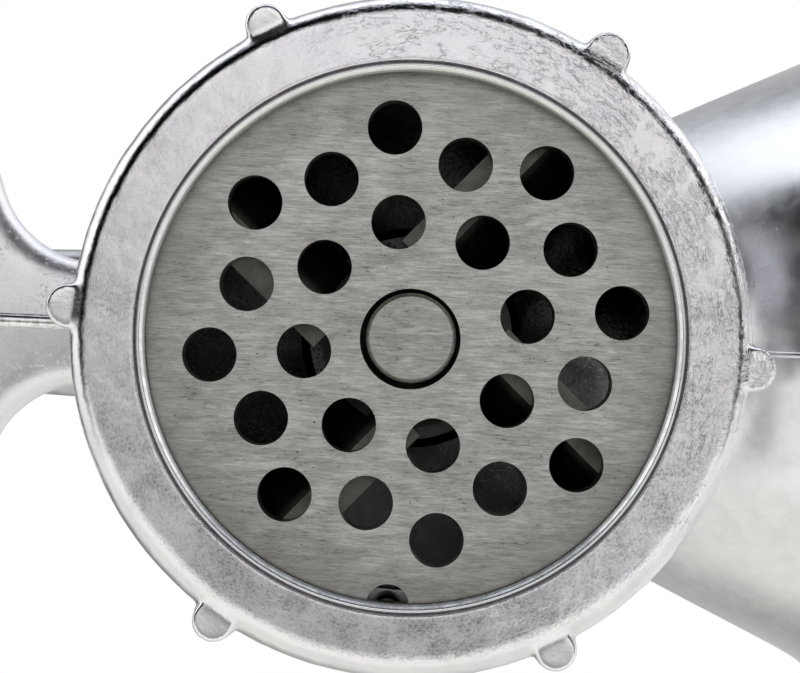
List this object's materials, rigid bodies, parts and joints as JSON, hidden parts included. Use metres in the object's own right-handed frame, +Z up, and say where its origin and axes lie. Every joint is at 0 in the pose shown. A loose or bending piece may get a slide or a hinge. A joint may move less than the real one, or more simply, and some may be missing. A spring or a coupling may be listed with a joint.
{
  "type": "hand crank meat grinder",
  "caption": "Hand crank meat grinder: oval hopper over a barrel with feed screw, knife, holed plate and ring nut, wood-grip crank and a screw clamp for a table edge.",
  "frame": {"origin": "middle of the upper jaw's rubber underside, which rests on the table top, on the clamp screw's axis", "axes": "+Z up; -Y the way the mince leaves, along the barrel's axis, which lies 67 mm above the origin; the crank is at the +Y end; +X to the right as seen from in front of the plate"},
  "size_m": [0.1164, 0.2313, 0.267],
  "materials": {
    "cast_body": "polished cast",
    "cast_ring": "satin cast with pits",
    "plate_steel": "brushed",
    "knife_steel": "ground",
    "screw_cast": "as cast",
    "crank_cast": "tumbled cast",
    "plated_steel": "zinc plated",
    "grip_wood": "oiled beech",
    "jaw_rubber": "matte",
    "bush_bronze": "sintered bronze"
  },
  "bodies": {
    "frame": {"body_casting": "cast_body", "rear_bush": "bush_bronze", "thrust_washer": "plated_steel", "plate_key": "plated_steel", "jaw_rubber": "jaw_rubber"},
    "plate": {"cutting_plate": "plate_steel"},
    "ring": {"ring_nut": "cast_ring"},
    "drive": {"feed_screw": "screw_cast", "knife": "knife_steel", "drive_stud": "knife_steel", "crank_arm": "crank_cast", "grip_pin": "plated_steel", "grip_washers": "plated_steel"},
    "handle": {"grip": "grip_wood", "grip_ferrule": "plated_steel"},
    "washer": {"thumb_washer": "plated_steel"},
    "thumb": {"thumb_screw": "plated_steel"},
    "pad": {"pressure_pad": "plated_steel", "pad_rubber": "jaw_rubber", "pad_retaining_ring": "plated_steel"},
    "screw": {"clamp_screw": "plated_steel"},
    "bar": {"tommy_bar": "plated_steel", "tommy_bar_caps": "plated_steel"}
  },
  "joints": [
    {"name": "plate_slide", "type": "slide", "parent": "frame", "child": "plate", "axis": [0, -1, 0], "range_m": [0, 0.0181]},
    {"name": "ring_turn", "type": "hinge", "parent": "plate", "child": "ring", "pos_m": [0, -0.044, 0.067], "axis": [0, -1, 0], "range_deg": [0, 2160]},
    {"name": "crank_turn", "type": "hinge", "parent": "frame", "child": "drive", "pos_m": [0, 0.05, 0.067], "axis": [0, -1, 0], "continuous": true},
    {"name": "grip_spin", "type": "hinge", "parent": "drive", "child": "handle", "pos_m": [0, 0.13, -0.083], "axis": [0, 1, 0], "continuous": true},
    {"name": "thumb_washer_slide", "type": "slide", "parent": "drive", "child": "washer", "axis": [0, 1, 0], "range_m": [0, 0.0138]},
    {"name": "thumb_screw_turn", "type": "hinge", "parent": "washer", "child": "thumb", "pos_m": [0, 0.08, 0.067], "axis": [0, 1, 0], "range_deg": [0, 3960]},
    {"name": "pad_slide", "type": "slide", "parent": "frame", "child": "pad", "axis": [0, 0, 1], "range_m": [-0.0011, 0.0281]},
    {"name": "clamp_turn", "type": "hinge", "parent": "pad", "child": "screw", "pos_m": [0, 0, -0.06], "axis": [0, 0, 1], "range_deg": [-120, 3360]},
    {"name": "tommy_slide", "type": "slide", "parent": "screw", "child": "bar", "axis": [1, 0, 0], "range_m": [-0.023, 0.023]}
  ],
  "couplings": [
    {"joint": "plate_slide", "follows": "ring_turn", "m_per_rad": 0.00047746},
    {"joint": "thumb_washer_slide", "follows": "thumb_screw_turn", "m_per_rad": 0.00019894},
    {"joint": "pad_slide", "follows": "clamp_turn", "m_per_rad": 0.00047746}
  ]
}
